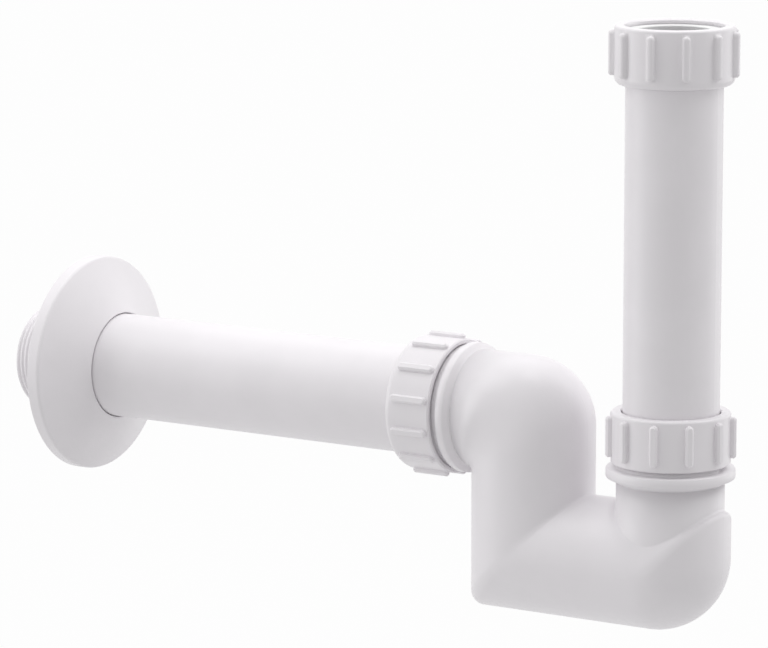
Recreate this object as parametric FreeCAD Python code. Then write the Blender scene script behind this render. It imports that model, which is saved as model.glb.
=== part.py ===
"""White plastic sink trap with a boat-shaped water seal.

Units are millimetres and +Z is up. The pieces are drawn from the point where the
axis of the riser crosses the axis of the outlet: the outlet runs to the wall
along -X, and the inlet tube stands upright at x = inlet_x. They are then moved
together, so that the origin is the middle of the inlet's sealing face, on top of
its washer, where the sink's waste outlet comes down.
"""
import FreeCAD, Part
import math
import os
from dataclasses import dataclass

V = FreeCAD.Vector

# Tubes
inlet_tube_r = 19.1
inlet_tube_wall = 2.5
inlet_dip = 3.0         # the inlet tube ends this far under the boat's axis
wall_tube_r = 21.7
wall_tube_wall = 2.4
wall_tube_inner_w = 26.0    # end of the wall tube inside the trap
wall_tube_outer_w = 243.5   # end of the wall tube in the wall
spigot_step = 0.75          # the thread at the wall end is this much thinner
spigot_length = 15.0
spigot_lead = 1.2           # chamfer at the start of the spigot

# Trap body
riser_room = 5.8        # the riser and the boat are this much wider than the inlet tube
body_wall = 2.4         # wall of the trap body
boat_room = 5.2         # free height between the boat and the arm, which is as wide
inlet_x = 62.5          # distance from the riser's axis to the inlet's axis
elbow_round = 27.0      # outer rounding of the elbow at the top of the riser
elbow_crease = 1.0
heel_round = 5.0        # outer rounding of the corner under the riser
riser_crease = 1.0      # inside rounding where the riser meets the boat
toe_back = 0.9          # the toe, the boat's end under the inlet, has its axis this far back
toe_bend_r = 4.5        # centreline radius of the toe's lower corner
shoulder_round = 2.0    # rounding of the toe's top edge
shoulder_side = 6.0     # the same on the toe's sides, where it fades out
socket_crease = 1.2     # inside rounding where the inlet socket meets the toe
bend_stations = 8       # sections across each bend
least_arc = 0.9         # a smaller rounding on a turned piece is cut straight
outlet_stop_w = 20.0    # the wall tube can go in as far as this
outlet_stop_length = 3.0
outlet_stop_step = 1.1  # the stop stands in from the tube's outside by this

# Captive nut at the top of the inlet tube
union_rim_z = 160.1         # open mouth of the nut
union_length = 23.3
union_wall = 4.025          # from the thread's crests to the outside
union_thread_step = 0.375   # the thread's crests lie this far outside the tube
union_chamber_step = 1.425  # the chamber under the thread is this much wider
union_thread_length = 12.5
union_floor = 3.4
union_edge = 3.2            # rounding of the closed end
union_mouth_edge = 1.1
union_ribs = 11
union_rib_height = 2.2
union_rib_turn = 309.3      # direction of one rib
neck_step = 0.9             # the tube is thinner here, and the nut stays on it
neck_clearance = 0.1
lip_step = 0.2
lip_height = 2.5
washer_step = 0.1           # the washer is smaller than the lip by this
washer_cover = 2.6          # how far it reaches in over the tube's bore
washer_height = 2.5
washer_below_rim = 1.9

# Wall flange
flange_r = 45.1
flange_hole_clearance = 0.4
flange_inset = 24.5         # from the flange's back to the end of the wall tube
flange_depth = 17.0         # from its back to the front edge of its hole
flange_rim_width = 5.6
flange_wall = 2.0
flange_rim_edge = 1.6
flange_collar_length = 7.0

# Ribs on the nuts
rib_width = 3.2
rib_edge = 0.7
rib_root = 1.0              # how far a rib goes into its nut

# Play between pieces that move on each other
running_gap = 0.05
thread_gap = 0.1
bore_gap = 0.2

# Sizes that follow from those above
riser_r = inlet_tube_r + riser_room
boat_z = -(2 * riser_r + boat_room)
inlet_dip_z = boat_z - inlet_dip
toe_x = inlet_x - toe_back
inlet_bore_r = inlet_tube_r - inlet_tube_wall
neck_r = inlet_tube_r - neck_step
lip_r = inlet_tube_r + lip_step
washer_r = lip_r - washer_step
washer_hole_r = inlet_bore_r - washer_cover
union_thread_r = inlet_tube_r + union_thread_step
union_chamber_r = union_thread_r + union_chamber_step
union_r = union_thread_r + union_wall
union_rib_r = union_r + union_rib_height
spigot_r = wall_tube_r - spigot_step
outlet_stop_r = wall_tube_r - outlet_stop_step


@dataclass(frozen=True)
class Joint:
    """One compression joint, with lengths measured along its own axis.

    Each step is how much wider a form is than the tube, in radius.
    """

    tube_r: float
    thread_step: float
    taper_w: float
    collar_w: float
    collar_length: float
    collar_step: float
    nut_w: float
    nut_length: float
    nut_step: float
    rib_height: float
    ribs: int
    rib_turn: float
    rib_start: float
    rib_stop: float
    socket_step: float = 2.3
    nut_floor: float = 3.0
    nut_edge: float = 3.0
    collar_edge: float = 0.35
    groove: float = 0.5
    ring_height: float = 1.2
    seal_head: float = 2.2
    seal_length: float = 7.5
    seal_width: float = 1.9

    @property
    def socket_r(self):
        return self.tube_r + self.socket_step

    @property
    def thread_r(self):
        return self.tube_r + self.thread_step

    @property
    def collar_r(self):
        return self.tube_r + self.collar_step

    @property
    def nut_r(self):
        return self.tube_r + self.nut_step

    @property
    def rib_r(self):
        return self.nut_r + self.rib_height

    @property
    def nut_end_w(self):
        return self.nut_w + self.nut_length

    @property
    def floor_w(self):
        return self.nut_end_w - self.nut_floor

    @property
    def ring_w(self):
        return self.floor_w - self.ring_height

    @property
    def seal_top_w(self):
        return self.ring_w - running_gap

    @property
    def seal_tip_w(self):
        return self.seal_top_w - self.seal_length

    @property
    def seal_seat_r(self):
        return self.tube_r + running_gap + 0.7 * self.seal_width

    @property
    def mouth_w(self):
        return self.seal_top_w - self.seal_head - 0.3

    @property
    def bore_r(self):
        return self.tube_r + bore_gap


inlet = Joint(
    tube_r=inlet_tube_r, thread_step=2.4, taper_w=-20.5,
    collar_w=-17.9, collar_length=3.6, collar_step=6.4,
    nut_w=-12.3, nut_length=20.5, nut_step=4.5, rib_height=2.2, ribs=11, rib_turn=283.2,
    rib_start=2.4, rib_stop=1.6, nut_edge=1.1,
)
outlet = Joint(
    tube_r=wall_tube_r, thread_step=3.3, taper_w=24.8,
    collar_w=27.2, collar_length=3.4, collar_step=4.6,
    nut_w=33.2, nut_length=21.2, nut_step=5.6, rib_height=1.8, ribs=13, rib_turn=5.7,
    rib_start=0.9, rib_stop=3.6,
)

inlet_place = FreeCAD.Placement(V(inlet_x, 0, 0), FreeCAD.Rotation())
outlet_place = FreeCAD.Placement(V(0, 0, 0), FreeCAD.Rotation(V(0, 1, 0), -90))


def rounded_outline(corners):
    """Closed wire in the XZ plane from (radius, height, rounding) corners."""
    count = len(corners)
    points = [V(c[0], 0, c[1]) for c in corners]
    rounds = [c[2] if len(c) > 2 else 0.0 for c in corners]
    starts, ends, arcs = [], [], []
    for i, corner in enumerate(points):
        if rounds[i] <= 0:
            starts.append(corner)
            ends.append(corner)
            arcs.append(None)
            continue
        before = (points[i - 1] - corner).normalize()
        after = (points[(i + 1) % count] - corner).normalize()
        half = before.getAngle(after) / 2
        back = rounds[i] / math.tan(half)
        middle = (before + after).normalize()
        centre = corner + middle * (rounds[i] / math.sin(half))
        starts.append(corner + before * back)
        ends.append(corner + after * back)
        if rounds[i] < least_arc:
            arcs.append(Part.LineSegment(starts[-1], ends[-1]))
        else:
            arcs.append(Part.Arc(starts[-1], centre - middle * rounds[i], ends[-1]))
    edges = []
    for i in range(count):
        if arcs[i]:
            edges.append(arcs[i].toShape())
        following = starts[(i + 1) % count]
        if ends[i].distanceToPoint(following) > 1e-6:
            edges.append(Part.makeLine(ends[i], following))
    return Part.Wire(edges)


def turned(corners, place=FreeCAD.Placement()):
    """Solid turned about the local Z axis, then put at its place."""
    face = Part.Face(rounded_outline(corners))
    solid = face.revolve(V(0, 0, 0), V(0, 0, 1), 360)
    if solid.Volume < 0:
        solid.reverse()
    solid.Placement = place
    return solid


def bend_sections(upright_r, level_r, outer, inner):
    """Elliptical sections across a bend, from its upright leg to its level leg.

    Seen from the side, each line along the pipe turns the corner on a quarter
    circle. Its radius goes evenly from outer, at the back of the bend, to inner.
    """
    sections = []
    for i in range(bend_stations + 1):
        part = i / bend_stations
        r = upright_r + (level_r - upright_r) * part * part * (3 - 2 * part)
        slope = (inner - outer) / (2 * r)
        middle = (outer + inner) / 2
        over = 1 - math.cos(part * math.pi / 2)
        up = 1 - math.sin(part * math.pi / 2)
        centre = V(middle * over, 0, middle * up)
        across = V(1 + slope * over, 0, 1 + slope * up) * r
        ellipse = Part.Ellipse(centre + across, centre + V(0, r, 0), centre)
        sections.append(Part.Wire(ellipse.toShape()))
    return sections


def bend_leg(r, outer, inner, length):
    """Upright leg of a bend, from the bend's first section up to its length."""
    middle = (outer + inner) / 2
    slope = 1 + (inner - outer) / (2 * r)
    low = middle - r * slope - 1
    below = Part.makeBox(8 * r, 8 * r, 4 * r, V(-4 * r, -4 * r, -4 * r))
    below.Placement = FreeCAD.Placement(
        V(0, 0, middle), FreeCAD.Rotation(V(0, 0, 1), V(-slope, 0, 1)))
    return Part.makeCylinder(r, length - low, V(0, 0, low)).cut(below)


def bend(upright_r, level_r, rounds, legs, place):
    """Round pipe form that turns from straight up to along the local X axis."""
    outer, inner = rounds
    corner = Part.makeLoft(bend_sections(upright_r, level_r, outer, inner), True, False)
    if corner.Volume < 0:
        corner.reverse()
    upright = bend_leg(upright_r, outer, inner, legs[0])
    level = bend_leg(level_r, outer, inner, legs[1]).mirror(V(0, 0, 0), V(1, 0, -1))
    solid = corner.fuse([upright, level]).removeSplitter()
    solid.Placement = place.multiply(solid.Placement)
    return solid


def toe_corner(r, along):
    """End of the boat, with its lower corner turned about the inside of the bend."""
    pivot = V(toe_x - toe_bend_r, 0, boat_z + toe_bend_r)
    disc = Part.Face(Part.Wire(Part.makeCircle(r, V(pivot.x, 0, boat_z), V(1, 0, 0))))
    below = Part.makeBox(1, 2 * r + 2, r + toe_bend_r + 1,
                         V(pivot.x - 0.5, -r - 1, boat_z - r - 1))
    corner = disc.common(below).Faces[0].revolve(pivot, V(0, -1, 0), 90)
    boat = Part.makeCylinder(r, along - toe_bend_r, V(toe_x - along, 0, boat_z), V(1, 0, 0))
    upright = Part.makeCylinder(r, 2 * r, V(toe_x, 0, pivot.z))
    filled = Part.makeCylinder(r, 2 * toe_bend_r, V(pivot.x, 0, boat_z), V(1, 0, 0))
    filled = filled.common(Part.makeCylinder(r, 2 * r, V(toe_x, 0, pivot.z)))
    return boat.fuse([corner, upright, filled])


def water_way(inset, arm_end_w):
    """Heel, elbow and toe of the trap, drawn in from the outside by inset."""
    r = riser_r - inset
    half_up, half_along = -boat_z / 2, inlet_x / 2
    heel = bend(r, r, (heel_round - inset, riser_crease + inset), (half_up, half_along),
                FreeCAD.Placement(V(0, 0, boat_z), FreeCAD.Rotation()))
    elbow = bend(r, outlet.socket_r - inset, (elbow_round - inset, elbow_crease + inset),
                 (half_up, arm_end_w), FreeCAD.Placement(V(0, 0, 0), FreeCAD.Rotation(V(0, 1, 0), 180)))
    along = toe_x - half_along
    shoulder = (max(shoulder_round - inset, 0.6), shoulder_side)
    falling = bend(r, r, shoulder, (2 * r, along),
                   FreeCAD.Placement(V(toe_x, 0, boat_z), FreeCAD.Rotation(V(0, 1, 0), 180)))
    toe = toe_corner(r, along).common(falling)
    return heel.fuse([elbow, toe]).removeSplitter()


def collar_and_thread(joint, place):
    """Outside of a socket's end: groove, taper, collar and the sleeve for the nut."""
    collar_end = joint.collar_w + joint.collar_length
    inside = joint.bore_r
    groove_r = joint.socket_r - joint.groove
    return turned([
        (inside, joint.taper_w),
        (groove_r, joint.taper_w),
        (groove_r, joint.taper_w + joint.groove),
        (joint.collar_r, joint.collar_w, joint.collar_edge),
        (joint.collar_r, collar_end, joint.collar_edge),
        (joint.thread_r, collar_end, 0.5),
        (joint.thread_r, joint.mouth_w, 0.4),
        (joint.seal_seat_r + bore_gap, joint.mouth_w),
        (inside, joint.seal_tip_w - 0.3),
    ], place)


def edge_middle(edge):
    """Point half-way along an edge."""
    return edge.valueAt((edge.FirstParameter + edge.LastParameter) / 2)


def lies_on_upright(edge, x, r):
    """True when the whole edge lies on an upright cylinder at the given x."""
    first, last = edge.FirstParameter, edge.LastParameter
    points = [edge.valueAt(first + (last - first) * i / 4) for i in range(5)]
    return all(abs(math.hypot(p.x - x, p.y) - r) < 0.02 for p in points)


def make_trap_body():
    """The one moulded piece: inlet socket, boat, riser, elbow and outlet socket."""
    outside = water_way(0.0, outlet.taper_w)
    top_z = inlet.taper_w
    socket = Part.makeCylinder(inlet.socket_r, top_z - boat_z, V(inlet_x, 0, boat_z))
    outside = outside.fuse(socket)
    crease = [edge for edge in outside.Edges
              if lies_on_upright(edge, inlet_x, inlet.socket_r)
              and boat_z + 2 < edge_middle(edge).z < top_z - 1]
    outside = outside.makeFillet(socket_crease, crease)
    outside = outside.fuse([collar_and_thread(inlet, inlet_place),
                            collar_and_thread(outlet, outlet_place)])
    inside = water_way(body_wall, outlet_stop_w - outlet_stop_length)
    bore = Part.makeCylinder(inlet.bore_r, top_z - boat_z, V(inlet_x, 0, boat_z))
    stop = Part.makeCylinder(outlet_stop_r, outlet.taper_w, V(0, 0, 0), V(-1, 0, 0))
    sleeve = Part.makeCylinder(outlet.bore_r, outlet.taper_w - outlet_stop_w,
                               V(-outlet_stop_w, 0, 0), V(-1, 0, 0))
    return outside.cut([inside, bore, stop, sleeve])


def rib(rib_r, nut_r, w0, w1):
    """One grip rib: a bar with round ends and bevelled edges, standing off along +X."""
    half = rib_width / 2
    base = nut_r - rib_root
    low, high = w0 + half, w1 - half
    outline = Part.Wire([
        Part.makeLine(V(base, -half, low), V(base, -half, high)),
        Part.Arc(V(base, -half, high), V(base, 0, w1), V(base, half, high)).toShape(),
        Part.makeLine(V(base, half, high), V(base, half, low)),
        Part.Arc(V(base, half, low), V(base, 0, w0), V(base, -half, low)).toShape(),
    ])
    bar = Part.Face(outline).extrude(V(rib_r - base, 0, 0))
    top = [edge for edge in bar.Edges if edge.BoundBox.XMin > rib_r - 0.01]
    return bar.makeChamfer(rib_edge, top)


def add_ribs(nut, count, turn, rib_r, nut_r, w0, w1):
    """Nut with its grip ribs, in the nut's own frame."""
    bars = []
    for i in range(count):
        bar = rib(rib_r, nut_r, w0, w1)
        bar.rotate(V(0, 0, 0), V(0, 0, 1), turn + i * 360.0 / count)
        bars.append(bar)
    return nut.fuse(bars)


def make_compression_nut(joint, place):
    """Ribbed nut that presses the slip ring and the seal into the socket."""
    thread = joint.thread_r + thread_gap
    hole = joint.tube_r + 0.45
    nut = turned([
        (thread + 0.5, joint.nut_w),
        (joint.nut_r, joint.nut_w, 0.5),
        (joint.nut_r, joint.nut_end_w, joint.nut_edge),
        (hole, joint.nut_end_w, 0.5),
        (hole, joint.floor_w),
        (thread, joint.floor_w),
        (thread, joint.nut_w + 0.5),
    ])
    nut = add_ribs(nut, joint.ribs, joint.rib_turn, joint.rib_r, joint.nut_r,
                   joint.nut_w + joint.rib_start, joint.nut_end_w - joint.rib_stop)
    nut.Placement = place.multiply(nut.Placement)
    return nut


def make_slip_ring(joint, place):
    """Flat plastic ring that lets the nut turn without dragging the seal."""
    return turned([
        (joint.tube_r + 0.3, joint.ring_w),
        (joint.thread_r - 0.4, joint.ring_w),
        (joint.thread_r - 0.4, joint.floor_w),
        (joint.tube_r + 0.3, joint.floor_w),
    ], place)


def make_cone_seal(joint, place):
    """Rubber seal with a flat head and a tapered skirt, round the tube."""
    inside = joint.tube_r + running_gap
    return turned([
        (inside, joint.seal_tip_w),
        (inside + 0.1, joint.seal_tip_w),
        (joint.seal_seat_r, joint.seal_top_w - joint.seal_head),
        (joint.thread_r - 0.5, joint.seal_top_w - joint.seal_head),
        (joint.thread_r - 0.5, joint.seal_top_w),
        (inside, joint.seal_top_w),
    ], place)


def make_inlet_tube():
    """Straight tube with a neck and a lip at the top for the captive nut."""
    shoulder = union_rim_z - union_length
    lip_top = union_rim_z - washer_below_rim - washer_height
    return turned([
        (inlet_bore_r, inlet_dip_z, 0.4),
        (inlet_tube_r, inlet_dip_z, 0.8),
        (inlet_tube_r, shoulder, 0.3),
        (neck_r, shoulder),
        (neck_r, lip_top - lip_height),
        (lip_r, lip_top - lip_height),
        (lip_r, lip_top, 0.3),
        (inlet_bore_r, lip_top, 0.3),
    ], inlet_place)


def make_inlet_nut():
    """Captive nut with its threaded mouth up and its closed end round the neck."""
    bottom = union_rim_z - union_length
    hole = neck_r + neck_clearance
    nut = turned([
        (hole, bottom),
        (union_r, bottom, union_edge),
        (union_r, union_rim_z, union_mouth_edge),
        (union_thread_r, union_rim_z, 0.5),
        (union_thread_r, union_rim_z - union_thread_length),
        (union_chamber_r, union_rim_z - union_thread_length - 1.0),
        (union_chamber_r, bottom + union_floor),
        (hole, bottom + union_floor),
    ])
    nut = add_ribs(nut, union_ribs, union_rib_turn, union_rib_r, union_r,
                   bottom + union_edge + 0.4, union_rim_z - 2.0)
    nut.Placement = inlet_place.multiply(nut.Placement)
    return nut


def make_inlet_washer():
    """Flat sealing washer on the lip of the inlet tube."""
    top = union_rim_z - washer_below_rim
    low = top - washer_height
    return turned([
        (washer_hole_r, low),
        (washer_r, low),
        (washer_r, top, 0.3),
        (washer_hole_r, top, 0.3),
    ], inlet_place)


def make_wall_tube():
    """Straight tube to the wall, with a threaded spigot at its far end."""
    bore = wall_tube_r - wall_tube_wall
    spigot_w = wall_tube_outer_w - spigot_length
    return turned([
        (bore, wall_tube_inner_w),
        (wall_tube_r - 0.5, wall_tube_inner_w),
        (wall_tube_r, wall_tube_inner_w + 0.5),
        (wall_tube_r, spigot_w),
        (spigot_r, spigot_w),
        (spigot_r, wall_tube_outer_w - spigot_lead),
        (spigot_r - spigot_lead, wall_tube_outer_w),
        (bore, wall_tube_outer_w),
    ], outlet_place)


def make_wall_flange():
    """Cone-faced rose that covers the hole in the wall and slides on the tube."""
    hole = wall_tube_r + flange_hole_clearance
    back_w = wall_tube_outer_w - flange_inset
    front_w = back_w - flange_depth
    rim_w = back_w - flange_rim_width
    t = flange_wall
    slope = (rim_w - front_w) / (flange_r - hole)
    behind = t * math.sqrt(1 + slope * slope)
    return turned([
        (hole, front_w, 0.3),
        (flange_r, rim_w, flange_rim_edge),
        (flange_r, back_w, 0.5),
        (flange_r - t, back_w, 0.5),
        (flange_r - t, rim_w + behind - slope * t),
        (hole + t, front_w + behind + slope * t),
        (hole + t, front_w + flange_collar_length, 0.4),
        (hole, front_w + flange_collar_length, 0.4),
    ], outlet_place)


def build():
    """All pieces of the trap by node name."""
    return {
        "trap_body": make_trap_body(),
        "inlet_nut": make_inlet_nut(),
        "inlet_washer": make_inlet_washer(),
        "inlet_tube": make_inlet_tube(),
        "inlet_compression_nut": make_compression_nut(inlet, inlet_place),
        "inlet_slip_ring": make_slip_ring(inlet, inlet_place),
        "inlet_cone_seal": make_cone_seal(inlet, inlet_place),
        "outlet_compression_nut": make_compression_nut(outlet, outlet_place),
        "outlet_slip_ring": make_slip_ring(outlet, outlet_place),
        "outlet_cone_seal": make_cone_seal(outlet, outlet_place),
        "wall_tube": make_wall_tube(),
        "wall_flange": make_wall_flange(),
    }


sealing_face = V(inlet_x, 0, union_rim_z - washer_below_rim)
os.makedirs("parts", exist_ok=True)
for name, shape in build().items():
    shape.translate(-sealing_face)
    shape.exportStep("parts/" + name + ".step")
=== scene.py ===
"""Looks of a white plastic sink trap, built round its solids.

Meshes are in metres, in the solids' own frame: the inlet tube stands on the Z
axis, and the wall tube runs from the riser towards -X. Places along these two
lines are in millimetres, upwards from the height of the outlet's axis on the
inlet's line, and away from the riser's axis on the outlet's.
"""
import logging
import math
from dataclasses import dataclass
from enum import Enum

import bmesh
import bpy
from mathutils import Matrix, Vector


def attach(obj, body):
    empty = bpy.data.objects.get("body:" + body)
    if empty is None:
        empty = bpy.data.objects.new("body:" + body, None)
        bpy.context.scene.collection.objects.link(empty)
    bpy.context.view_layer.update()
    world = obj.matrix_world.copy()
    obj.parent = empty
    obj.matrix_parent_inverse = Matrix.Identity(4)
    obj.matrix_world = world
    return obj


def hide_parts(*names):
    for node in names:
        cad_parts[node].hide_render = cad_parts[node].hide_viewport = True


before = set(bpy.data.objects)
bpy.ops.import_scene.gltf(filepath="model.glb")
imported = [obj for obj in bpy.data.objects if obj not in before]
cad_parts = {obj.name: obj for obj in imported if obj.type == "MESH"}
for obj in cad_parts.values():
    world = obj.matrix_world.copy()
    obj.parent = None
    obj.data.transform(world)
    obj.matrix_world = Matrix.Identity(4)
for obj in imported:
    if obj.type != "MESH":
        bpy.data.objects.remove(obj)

log = logging.getLogger("sink_trap")

MM = 0.001

# Where the riser's axis crosses the outlet's, in metres
RISER = Vector((-62.5, 0.0, -158.2)) * MM

# Corners nearer than this are one corner, in metres: in a solid's mesh, and after a cut
WELD = 2e-6
CRUMB = 3e-7

WHITE = (1.0, 1.0, 1.0, 1.0)
WHITE_PLASTIC = (0.82, 0.795, 0.82)

# What noise comes to on average, and the scale of the texture along a drawn tube
NOISE_MEAN = 0.5
DRAWN = 0.012


class Line(Enum):
    """The two lines that the sockets and tubes lie on."""

    INLET = "inlet"
    OUTLET = "outlet"

    def placed(self, w: float) -> Matrix:
        """Puts a local Z axis on this line.

        Args:
            w: Place along the line, in mm.

        Returns:
            The matrix that does so, in metres.
        """
        if self is Line.INLET:
            return Matrix.Translation((0.0, 0.0, RISER.z + w * MM))
        turn = Matrix.Rotation(-math.pi / 2, 4, "Y")
        return Matrix.Translation(RISER + Vector((-w * MM, 0.0, 0.0))) @ turn


def in_scene(name: str, data: bpy.types.ID) -> bpy.types.Object:
    """Adds an object to the scene.

    Args:
        name: Its name.
        data: The mesh, lamp or camera that it holds.

    Returns:
        The object.
    """
    holder = bpy.data.objects.new(name, data)
    bpy.context.scene.collection.objects.link(holder)
    return holder


def as_mesh(shape: bmesh.types.BMesh, name: str) -> bpy.types.Mesh:
    """Makes a mesh of a shape, and frees the shape.

    Args:
        shape: The shape.
        name: The mesh's name.

    Returns:
        The mesh.
    """
    mesh = bpy.data.meshes.new(name)
    shape.to_mesh(mesh)
    shape.free()
    return mesh


def sweep_crumbs(mesh: bpy.types.Mesh) -> None:
    """Takes out the tiny edges and faces that a cut leaves.

    Args:
        mesh: The mesh, which is changed.
    """
    shape = bmesh.new()
    shape.from_mesh(mesh)
    bmesh.ops.remove_doubles(shape, verts=shape.verts, dist=CRUMB)
    bmesh.ops.dissolve_degenerate(shape, edges=shape.edges, dist=CRUMB)
    shape.to_mesh(mesh)
    shape.free()


class Sock:
    """A shader socket that plain arithmetic works on."""

    def __init__(self, graph: "Graph", socket: bpy.types.NodeSocket) -> None:
        """Keeps the socket and the graph that it belongs to."""
        self.graph = graph
        self.socket = socket

    def __add__(self, other: "Sock | float") -> "Sock":
        """Returns the sum."""
        return self.graph.maths("ADD", self, other)

    def __sub__(self, other: "Sock | float") -> "Sock":
        """Returns the difference."""
        return self.graph.maths("SUBTRACT", self, other)

    def __rsub__(self, other: float) -> "Sock":
        """Returns a number less this value."""
        return self.graph.maths("SUBTRACT", other, self)

    def __mul__(self, other: "Sock | float") -> "Sock":
        """Returns the product."""
        return self.graph.maths("MULTIPLY", self, other)

    __radd__ = __add__
    __rmul__ = __mul__

    def away_from_zero(self) -> "Sock":
        """Returns the value without its sign."""
        return self.graph.maths("ABSOLUTE", self)

    def or_more(self, other: "Sock") -> "Sock":
        """Returns the larger of the two values."""
        return self.graph.maths("MAXIMUM", self, other)

    def rise(self, low: float, high: float) -> "Sock":
        """Makes a smooth step of the value.

        Args:
            low: Value at which the step is 0.
            high: Value at which the step is 1.

        Returns:
            The step.
        """
        return self.graph.node(
            "ShaderNodeMapRange",
            {"interpolation_type": "SMOOTHSTEP"},
            {"Value": self, "From Min": low, "From Max": high},
        )


class Graph:
    """A node tree that is written as expressions."""

    # Numbers of the colour sockets of a Mix node, whose names its other kinds share
    MIX_AMOUNT, MIX_FIRST, MIX_SECOND, MIX_RESULT = 0, 6, 7, 2

    def __init__(self, tree: bpy.types.NodeTree) -> None:
        """Starts an empty tree."""
        self.tree = tree
        tree.nodes.clear()

    def node(
        self,
        kind: str,
        settings: dict | None = None,
        sockets: dict | None = None,
        output: int | str = 0,
    ) -> Sock:
        """Adds one node.

        Args:
            kind: The node's type.
            settings: Properties of the node, set before its sockets.
            sockets: Values or links of its inputs, by name or number.
            output: The output to return, by name or number.

        Returns:
            The chosen output.
        """
        node = self.tree.nodes.new(kind)
        for key, value in (settings or {}).items():
            setattr(node, key, value)
        for key, value in (sockets or {}).items():
            if isinstance(value, Sock):
                self.tree.links.new(value.socket, node.inputs[key])
            else:
                node.inputs[key].default_value = value
        return Sock(self, node.outputs[output])

    def end(self, kind: str, surface: Sock) -> None:
        """Adds an output node of this kind and joins the surface to it."""
        self.tree.links.new(surface.socket, self.tree.nodes.new(kind).inputs["Surface"])

    def maths(self, operation: str, *values: "Sock | float") -> Sock:
        """Adds a Math node with these values and returns its result."""
        return self.node("ShaderNodeMath", {"operation": operation}, dict(enumerate(values)))

    def direct_rays(self) -> Sock:
        """Tells the rays that show a surface from those that carry its light.

        Returns:
            1 for rays from the camera, a mirror or glass, and 0 for the rest.
        """
        kinds = ("Is Camera Ray", "Is Glossy Ray", "Is Transmission Ray")
        camera, mirror, glass = (self.node("ShaderNodeLightPath", output=kind) for kind in kinds)
        return camera.or_more(mirror).or_more(glass)

    def noise(self, where: Sock, size_mm: float, detail: float = 2.0) -> Sock:
        """Adds noise.

        Args:
            where: The coordinates.
            size_mm: Size of its clouds, in mm.
            detail: Octaves of finer noise.

        Returns:
            A value near NOISE_MEAN.
        """
        sockets = {"Vector": where, "Scale": 1.0 / (size_mm * MM), "Detail": detail}
        return self.node("ShaderNodeTexNoise", None, sockets, "Fac")

    def blend(self, amount: Sock, first: tuple, second: tuple) -> Sock:
        """Mixes two colours.

        Args:
            amount: 0 for the first colour, 1 for the second.
            first: The first colour.
            second: The second colour.

        Returns:
            The mixed colour.
        """
        sockets = {
            self.MIX_AMOUNT: amount,
            self.MIX_FIRST: (*first, 1.0),
            self.MIX_SECOND: (*second, 1.0),
        }
        return self.node("ShaderNodeMix", {"data_type": "RGBA"}, sockets, self.MIX_RESULT)

    def shine(self, kind: str, strength: float) -> Sock:
        """Returns white light of this strength, from a node of this kind."""
        return self.node(kind, None, {"Color": WHITE, "Strength": strength})

    def between(self, amount: Sock, first: Sock, second: Sock) -> Sock:
        """Returns a mix of two shaders, the first at an amount of 0 and the second at 1."""
        return self.node("ShaderNodeMixShader", None, {0: amount, 1: first, 2: second})


class Grain(Enum):
    """What a surface's coordinates are multiplied by for its fine texture."""

    EVEN = (1.0, 1.0, 1.0)
    UPRIGHT = (1.0, 1.0, DRAWN)
    ALONG = (DRAWN, 1.0, 1.0)


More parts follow.
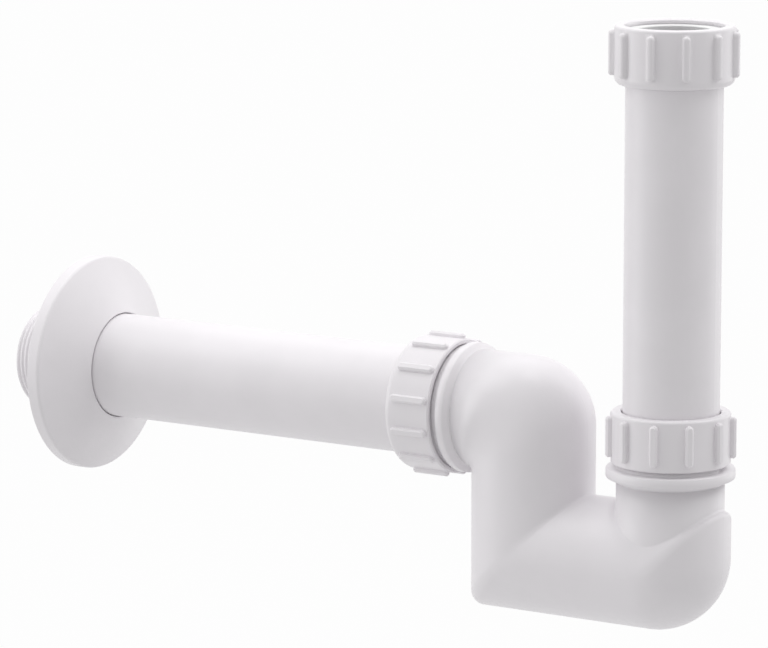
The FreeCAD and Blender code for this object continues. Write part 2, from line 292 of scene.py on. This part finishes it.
@dataclass(frozen=True)
class Finish:
    """One finish: its colour, its gloss and the fine texture of its surface.

    Sizes and heights of the texture are in millimetres.

    Attributes:
        name: Name of the material.
        colour: Colour where the surface is palest.
        roughness: Roughness on average.
        shade: Share of the colour that its darker clouds keep.
        grain: Which way the texture runs.
        grain_size: Size of the finest marks.
        grain_height: Height of the finest marks.
        swell_size: Size of the shallow swells.
        swell_height: Height of the shallow swells.
        cloud_size: Size of the clouds in colour and gloss.
        cloud_edge: Values of the noise at which a cloud starts and is full.
        cloud_gloss: How much the roughness changes with the clouds.
        grain_gloss: How much the roughness changes with the finest marks.
        parting: Height of the mould's parting line in the XZ plane, or 0 for none.
        parting_edge: Distances from that plane at which the line starts to fall and ends.
        ior: Index of refraction.
    """

    name: str
    colour: tuple[float, float, float]
    roughness: float
    shade: float = 0.975
    grain: Grain = Grain.EVEN
    grain_size: float = 0.5
    grain_height: float = 0.006
    swell_size: float = 9.0
    swell_height: float = 0.03
    cloud_size: float = 26.0
    cloud_edge: tuple[float, float] = (0.35, 0.65)
    cloud_gloss: float = 0.10
    grain_gloss: float = 0.08
    parting: float = 0.0
    parting_edge: tuple[float, float] = (0.05, 0.28)
    ior: float = 1.49

    def height(self, graph: Graph, place: Sock, fine: Sock, swell: Sock) -> Sock:
        """Works out how far the surface stands out.

        Args:
            graph: The material's nodes.
            place: The object's coordinates.
            fine: The finest marks, as noise.
            swell: The swells, as noise.

        Returns:
            The height, in mm.
        """
        texture = fine * self.grain_height + swell * self.swell_height
        if not self.parting:
            return texture
        across = graph.node("ShaderNodeSeparateXYZ", None, {"Vector": place}, "Y").away_from_zero()
        near, far = self.parting_edge
        return texture + (1.0 - across.rise(near * MM, far * MM)) * self.parting

    def material(self) -> bpy.types.Material:
        """Finds the finish's material, or makes it on first use.

        Returns:
            The material.
        """
        found = bpy.data.materials.get(self.name)
        if found:
            return found
        material = bpy.data.materials.new(self.name)
        material.use_nodes = True
        graph = Graph(material.node_tree)
        place = graph.node("ShaderNodeTexCoord", output="Object")
        along = graph.node("ShaderNodeMapping", None, {"Vector": place, "Scale": self.grain.value})
        cloud = graph.noise(place, self.cloud_size, detail=3.0)
        fine = graph.noise(along, self.grain_size)
        swell = graph.noise(along, self.swell_size, detail=1.0)
        height = self.height(graph, place, fine, swell)
        bump = graph.node(
            "ShaderNodeBump", None, {"Height": height, "Distance": MM, "Strength": 1.0}
        )
        gloss = (cloud - NOISE_MEAN) * self.cloud_gloss + (fine - NOISE_MEAN) * self.grain_gloss
        dark = tuple(channel * self.shade for channel in self.colour)
        shader = graph.node("ShaderNodeBsdfPrincipled", None, {
            "Base Color": graph.blend(cloud.rise(*self.cloud_edge), dark, self.colour),
            "Roughness": gloss + self.roughness,
            "Normal": bump,
            "IOR": self.ior,
        })
        graph.end("ShaderNodeOutputMaterial", shader)
        return material


MOULDED = Finish("moulded_white", WHITE_PLASTIC, 0.38, parting=0.03)
NUT = Finish("nut_white", WHITE_PLASTIC, 0.36)
UPRIGHT_TUBE = Finish("upright_tube_white", WHITE_PLASTIC, 0.40, grain=Grain.UPRIGHT)
WALL_TUBE = Finish("wall_tube_white", WHITE_PLASTIC, 0.40, grain=Grain.ALONG)
FLANGE = Finish("flange_white", WHITE_PLASTIC, 0.38)
WASHER = Finish("washer_rubber", (0.78, 0.78, 0.78), 0.55, grain_height=0.012)
SEAL = Finish("seal_rubber", (0.50, 0.51, 0.52), 0.65, grain_height=0.015)
SLIP_RING = Finish("slip_ring_plastic", (0.74, 0.74, 0.73), 0.5)


@dataclass(frozen=True)
class Lamp:
    """A square soft lamp that faces the object.

    Attributes:
        name: Name of the lamp.
        azimuth: Direction of the lamp, in degrees from -Y towards +X.
        elevation: Height of the lamp, in degrees.
        watts: Its power.
        reach: Distance from the object, in metres.
        size: Length of its sides, in metres.
    """

    name: str
    azimuth: float
    elevation: float
    watts: float
    reach: float = 1.9
    size: float = 1.2


LAMPS = (
    Lamp("top", azimuth=0.0, elevation=89.0, watts=7.6, reach=2.2, size=0.7),
    Lamp("high_back", azimuth=-150.0, elevation=60.0, watts=5.5, reach=1.8),
    Lamp("high_right", azimuth=120.0, elevation=50.0, watts=9.6),
    Lamp("high_left", azimuth=-60.0, elevation=50.0, watts=6.1),
    Lamp("left", azimuth=-60.0, elevation=5.0, watts=7.4),
    Lamp("back", azimuth=150.0, elevation=5.0, watts=3.8),
)


@dataclass(frozen=True)
class Studio:
    """Camera, lamps, floor and background.

    Attributes:
        look_at: Point that the camera and the lamps face, in metres.
        azimuth: Direction of the camera, in degrees from -Y towards +X.
        elevation: Height of the camera, in degrees.
        roll: Turn of the camera about its own axis, in degrees.
        distance: From that point to the camera, in metres.
        lens: Focal length, in mm.
        sensor: Width of the sensor, in mm.
        clip: Nearest and farthest distance that the camera sees, in metres.
        even_light: Strength of the light that reaches the object from all round.
        floor_z: Height of the floor, in metres.
        floor_size: Length of the floor's sides, in metres.
        floor_grey: Grey of the floor for the light that it throws back.
        floor_white: Share of plain white in what the camera sees of it.
    """

    look_at: tuple[float, float, float] = (-0.1336, 0.0, -0.12825)
    azimuth: float = 32.64
    elevation: float = 10.06
    roll: float = -0.03
    distance: float = 1.8696
    lens: float = 215.6
    sensor: float = 36.0
    clip: tuple[float, float] = (0.05, 60.0)
    even_light: float = 0.61
    floor_z: float = -1.2
    floor_size: float = 40.0
    floor_grey: float = 0.82
    floor_white: float = 0.97

    def facing(self, azimuth: float, elevation: float, reach: float) -> Matrix:
        """Finds the place from which a camera or lamp faces the object.

        Args:
            azimuth: Its direction, in degrees from -Y towards +X.
            elevation: Its height, in degrees.
            reach: Its distance, in metres.

        Returns:
            The matrix that puts it there.
        """
        a, e = math.radians(azimuth), math.radians(elevation)
        away = Vector((math.sin(a) * math.cos(e), -math.cos(a) * math.cos(e), math.sin(e)))
        turn = (-away).to_track_quat("-Z", "Y").to_matrix().to_4x4()
        return Matrix.Translation(Vector(self.look_at) + away * reach) @ turn

    def camera(self) -> None:
        """Sets up the camera that shows the object."""
        data = bpy.data.cameras.new("camera")
        data.lens = self.lens
        data.sensor_width = self.sensor
        data.sensor_fit = "HORIZONTAL"
        data.clip_start, data.clip_end = self.clip
        holder = in_scene("camera", data)
        spin = Matrix.Rotation(math.radians(self.roll), 4, "Z")
        holder.matrix_world = self.facing(self.azimuth, self.elevation, self.distance) @ spin
        bpy.context.scene.camera = holder

    def lamp(self, lamp: Lamp) -> None:
        """Adds one lamp, turned towards the object.

        Args:
            lamp: The lamp.
        """
        data = bpy.data.lights.new(lamp.name, "AREA")
        data.shape = "SQUARE"
        data.size = lamp.size
        data.energy = lamp.watts
        holder = in_scene(lamp.name, data)
        holder.matrix_world = self.facing(lamp.azimuth, lamp.elevation, lamp.reach)

    def background(self) -> None:
        """Makes the surroundings white to see and an even grey light to the object."""
        world = bpy.data.worlds.new("surroundings")
        world.use_nodes = True
        bpy.context.scene.world = world
        graph = Graph(world.node_tree)
        light = graph.shine("ShaderNodeBackground", self.even_light)
        seen = graph.shine("ShaderNodeBackground", 1.0)
        graph.end("ShaderNodeOutputWorld", graph.between(graph.direct_rays(), light, seen))

    def floor_material(self) -> bpy.types.Material:
        """Makes the floor's finish, almost white to see, so that it keeps the object's shadow.

        Returns:
            The material.
        """
        material = bpy.data.materials.new("floor")
        material.use_nodes = True
        graph = Graph(material.node_tree)
        grey = (self.floor_grey, self.floor_grey, self.floor_grey, 1.0)
        matt = graph.node("ShaderNodeBsdfDiffuse", None, {"Color": grey})
        seen = graph.shine("ShaderNodeEmission", 1.0)
        share = graph.direct_rays() * self.floor_white
        graph.end("ShaderNodeOutputMaterial", graph.between(share, matt, seen))
        return material

    def floor(self) -> None:
        """Lays a plain pale floor well under the object."""
        shape = bmesh.new()
        bmesh.ops.create_grid(shape, x_segments=1, y_segments=1, size=self.floor_size / 2)
        bmesh.ops.translate(shape, verts=shape.verts, vec=(0.0, 0.0, self.floor_z))
        floor = in_scene("floor", as_mesh(shape, "floor"))
        floor.data.materials.append(self.floor_material())

    def build(self) -> None:
        """Sets up the whole studio."""
        bpy.context.scene.view_settings.view_transform = "Standard"
        self.camera()
        for lamp in LAMPS:
            self.lamp(lamp)
        self.background()
        self.floor()


@dataclass(frozen=True)
class Thread:
    """A right-handed screw thread, cut as a helical groove.

    Sizes are in millimetres. The crest is the plain wall that the groove is cut
    into, and the groove goes inwards on a pin and outwards in a nut.

    Attributes:
        line: The line that the thread goes round.
        start: Where the groove starts, along the line.
        crest: Radius of the wall.
        depth: Depth of the groove.
        turns: Number of its turns.
        outwards: Whether it goes outwards.
        pitch: Rise of one turn.
        crest_flat: Width of wall left between two turns.
        root_flat: Width of the groove's bottom.
        cover: How far the cutter stands out of the wall.
        run_out: Rise over which the groove fades out at its end, in pitches.
        lift: How far past the wall its end is lifted.
        steps: Number of steps in a turn.
    """

    line: Line
    start: float
    crest: float
    depth: float
    turns: float
    outwards: bool = False
    pitch: float = 2.309
    crest_flat: float = 0.45
    root_flat: float = 0.3
    cover: float = 0.5
    run_out: float = 0.6
    lift: float = 0.2
    steps: int = 56

    @property
    def side(self) -> float:
        """Returns 1 for a groove that goes outwards and -1 for one that goes inwards."""
        return 1.0 if self.outwards else -1.0

    def section(self) -> list[tuple[float, float]]:
        """Draws the cutter's section.

        Returns:
            The radius and height of its corners.
        """
        clear = self.crest - self.side * self.cover
        root = self.crest + self.side * self.depth
        wide, narrow = (self.pitch - self.crest_flat) / 2, self.root_flat / 2
        return [
            (clear, -wide), (self.crest, -wide), (root, -narrow),
            (root, narrow), (self.crest, wide), (clear, wide),
        ]

    def fade_out(self, shape: bmesh.types.BMesh) -> None:
        """Lifts the end of the groove out of the wall.

        Args:
            shape: The cutter, round the Z axis.
        """
        top = self.pitch * self.turns * MM
        fade = self.run_out * self.pitch * MM
        for vert in shape.verts:
            late = min(max((vert.co.z - (top - fade)) / fade, 0.0), 1.0)
            flat = Vector((vert.co.x, vert.co.y, 0.0)).normalized()
            vert.co -= flat * (self.side * late * (self.depth + self.lift) * MM)

    def cutter(self, name: str) -> bpy.types.Object:
        """Makes the groove as a closed helical solid.

        Args:
            name: Name of the new object.

        Returns:
            The object, placed on the thread's line.
        """
        shape = bmesh.new()
        shape.faces.new([shape.verts.new((r * MM, 0.0, z * MM)) for r, z in self.section()])
        steps = round(self.steps * self.turns)
        bmesh.ops.spin(
            shape,
            geom=[*shape.verts, *shape.edges, *shape.faces],
            cent=(0, 0, 0),
            axis=(0, 0, 1),
            dvec=(0, 0, self.pitch * MM * self.turns / steps),
            angle=math.tau * self.turns,
            steps=steps,
        )
        bmesh.ops.recalc_face_normals(shape, faces=shape.faces)
        self.fade_out(shape)
        shape.transform(self.line.placed(self.start))
        return in_scene(name, as_mesh(shape, name))


@dataclass(frozen=True)
class Piece:
    """A solid that is carried over, or a finer mesh that stands for it.

    Attributes:
        node: Name of the solid's node.
        body: Name of the body that it moves with.
        slot: Material slot of the record; not used.
        finish: Its finish.
        sharp: Angle in degrees above which an edge of a finer mesh stays sharp.
    """

    node: str
    body: str
    slot: str
    finish: Finish
    sharp: float = 38.0

    def carried_over(self) -> None:
        """Dresses the solid itself."""
        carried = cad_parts[self.node]
        material = self.finish.material()
        if carried.material_slots:
            for place in carried.material_slots:
                place.material = material
        else:
            carried.data.materials.append(material)
        log.info("%s keeps its solid, in %s", self.node, self.finish.name)

    def stood_for_by(self, mesh: bpy.types.Mesh) -> None:
        """Puts a finer mesh in the place of the node.

        Args:
            mesh: The mesh, in the solids' frame.
        """
        mesh.materials.clear()
        mesh.materials.append(self.finish.material())
        mesh.polygons.foreach_set("use_smooth", [True] * len(mesh.polygons))
        mesh.set_sharp_from_angle(angle=math.radians(self.sharp))
        piece = in_scene(self.node + "_dressed", mesh)
        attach(piece, self.body)
        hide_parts(self.node)
        log.info("%s stands for its solid with %d faces", piece.name, len(mesh.polygons))

    def plain_copy(self) -> bpy.types.Object:
        """Copies the node's mesh and joins its loose triangles.

        Returns:
            The copy, as an object.
        """
        name = self.node + "_plain"
        shape = bmesh.new()
        shape.from_mesh(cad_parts[self.node].data)
        bmesh.ops.remove_doubles(shape, verts=shape.verts, dist=WELD)
        return in_scene(name, as_mesh(shape, name))

    def threaded(self, *threads: Thread) -> None:
        """Puts a copy of the node with screw threads in the node's place.

        Args:
            *threads: The threads to cut.
        """
        plain = self.plain_copy()
        cutters = [thread.cutter(f"groove_{i}") for i, thread in enumerate(threads)]
        for cutter in cutters:
            cut = plain.modifiers.new(cutter.name, "BOOLEAN")
            cut.operation = "DIFFERENCE"
            cut.solver = "EXACT"
            cut.object = cutter
        bpy.context.view_layer.update()
        grooved = plain.evaluated_get(bpy.context.evaluated_depsgraph_get())
        mesh = bpy.data.meshes.new_from_object(grooved)
        sweep_crumbs(mesh)
        for spent in (plain, *cutters):
            bpy.data.objects.remove(spent)
        self.stood_for_by(mesh)


@dataclass(frozen=True)
class TrapBody:
    """The moulded body, with a screw thread on each of its two sockets."""

    inlet_thread: Thread = Thread(Line.INLET, start=-13.2, crest=21.5, depth=0.85, turns=7.3)
    outlet_thread: Thread = Thread(Line.OUTLET, start=31.9, crest=25.0, depth=0.85, turns=7.4)

    def build(self) -> None:
        """Cuts the two threads and gives the body its finish."""
        body = Piece("trap_body", "trap", "white_plastic", MOULDED)
        body.threaded(self.inlet_thread, self.outlet_thread)


@dataclass(frozen=True)
class InletTube:
    """The upright tube with its captive nut and washer."""

    nut_thread: Thread = Thread(
        Line.INLET, start=147.3, crest=19.475, depth=1.3, turns=4.6, outwards=True
    )

    def build(self) -> None:
        """Dresses the tube and the washer, and cuts the nut's thread."""
        Piece("inlet_tube", "inlet", "white_plastic", UPRIGHT_TUBE).carried_over()
        Piece("inlet_nut", "union_nut", "white_plastic", NUT).threaded(self.nut_thread)
        Piece("inlet_washer", "inlet", "washer", WASHER).carried_over()


@dataclass(frozen=True)
class CompressionJoint:
    """The nut, slip ring and seal that hold a tube in a socket.

    Attributes:
        side: The line that the socket lies on.
    """

    side: Line

    def build(self) -> None:
        """Dresses the three pieces."""
        side = self.side.value
        Piece(f"{side}_compression_nut", f"{side}_joint_nut", "white_plastic", NUT).carried_over()
        Piece(f"{side}_slip_ring", f"{side}_ring", "slip_ring", SLIP_RING).carried_over()
        Piece(f"{side}_cone_seal", f"{side}_seal", "seal", SEAL).carried_over()


@dataclass(frozen=True)
class WallEnd:
    """The tube to the wall, with its threaded spigot, and the flange round it.

    Sizes are in millimetres, and places lie along the outlet's line.

    Attributes:
        inner_w: Place of the tube's end in the socket.
        outer_w: Place of its end at the wall.
        outer_r: Radius of the tube.
        bore_r: Radius of its bore.
        end_bevel: Bevel of its end in the socket.
        spigot_w: Place of the step down to the spigot.
        spigot_r: Radius of the spigot over its thread.
        step_bevel: Bevel of that step.
        lead: Length and depth of the bevel at the wall's end.
        pitch: Pitch of the rounded thread.
        depth: Depth of the thread.
        fade: Length over which the thread fades at either end.
        rows: Rows of the mesh in one pitch.
        sides: Sides of the mesh round the line.
    """

    inner_w: float = 26.05
    outer_w: float = 243.5
    outer_r: float = 21.7
    bore_r: float = 19.3
    end_bevel: float = 0.5
    spigot_w: float = 228.5
    spigot_r: float = 20.95
    step_bevel: float = 0.2
    lead: float = 1.2
    pitch: float = 2.0
    depth: float = 0.45
    fade: float = 1.4
    rows: int = 14
    sides: int = 128

    @property
    def thread_end(self) -> float:
        """Returns the place where the thread gives way to the bevel."""
        return self.outer_w - self.lead

    def groove(self, w: float, turn: float) -> float:
        """Works out how deep the thread is at one point.

        Args:
            w: The point's place.
            turn: Its angle round the line, in radians.

        Returns:
            The depth under the crest.
        """
        near = max(min(w - self.spigot_w, self.thread_end - w), 0.0)
        strength = min(near / self.fade, 1.0)
        phase = math.tau * (w - self.spigot_w) / self.pitch - turn
        return self.depth * strength * (1.0 - math.cos(phase)) / 2

    def outline(self) -> list[tuple[float, float]]:
        """Draws half of the tube's section, with the spigot's wall in rows.

        Returns:
            The radius and place of its corners.
        """
        length = self.thread_end - self.spigot_w
        count = round(self.rows * length / self.pitch)
        return [
            (self.bore_r, self.inner_w),
            (self.outer_r - self.end_bevel, self.inner_w),
            (self.outer_r, self.inner_w + self.end_bevel),
            (self.outer_r, self.spigot_w - self.step_bevel),
            (self.outer_r - self.step_bevel, self.spigot_w),
            *((self.spigot_r, self.spigot_w + length * i / count) for i in range(count + 1)),
            (self.spigot_r - self.lead, self.outer_w),
            (self.bore_r, self.outer_w),
        ]

    def tube(self) -> bpy.types.Mesh:
        """Spins the tube from its outline and presses the thread in.

        Returns:
            The mesh, in the solids' frame.
        """
        shape = bmesh.new()
        ring = [shape.verts.new((r * MM, 0.0, w * MM)) for r, w in self.outline()]
        for first, second in zip(ring, ring[1:] + ring[:1]):
            shape.edges.new((first, second))
        bmesh.ops.spin(
            shape,
            geom=[*shape.verts, *shape.edges],
            cent=(0, 0, 0),
            axis=(0, 0, 1),
            angle=math.tau,
            steps=self.sides,
            use_merge=True,
        )
        bmesh.ops.recalc_face_normals(shape, faces=shape.faces)
        for vert in shape.verts:
            flat = Vector((vert.co.x, vert.co.y, 0.0))
            if abs(flat.length - self.spigot_r * MM) < WELD:
                deep = self.groove(vert.co.z / MM, math.atan2(vert.co.y, vert.co.x))
                vert.co -= flat.normalized() * (deep * MM)
        shape.transform(Line.OUTLET.placed(0.0))
        return as_mesh(shape, "wall_tube_dressed")

    def build(self) -> None:
        """Puts the threaded tube in and dresses the flange."""
        Piece("wall_tube", "wall_pipe", "white_plastic", WALL_TUBE).stood_for_by(self.tube())
        Piece("wall_flange", "flange", "white_plastic", FLANGE).carried_over()


def main() -> None:
    """Builds every part of the scene in order."""
    logging.basicConfig(level=logging.INFO)
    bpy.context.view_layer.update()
    Studio().build()
    TrapBody().build()
    InletTube().build()
    CompressionJoint(Line.INLET).build()
    CompressionJoint(Line.OUTLET).build()
    WallEnd().build()


if __name__ == "__main__":
    main()
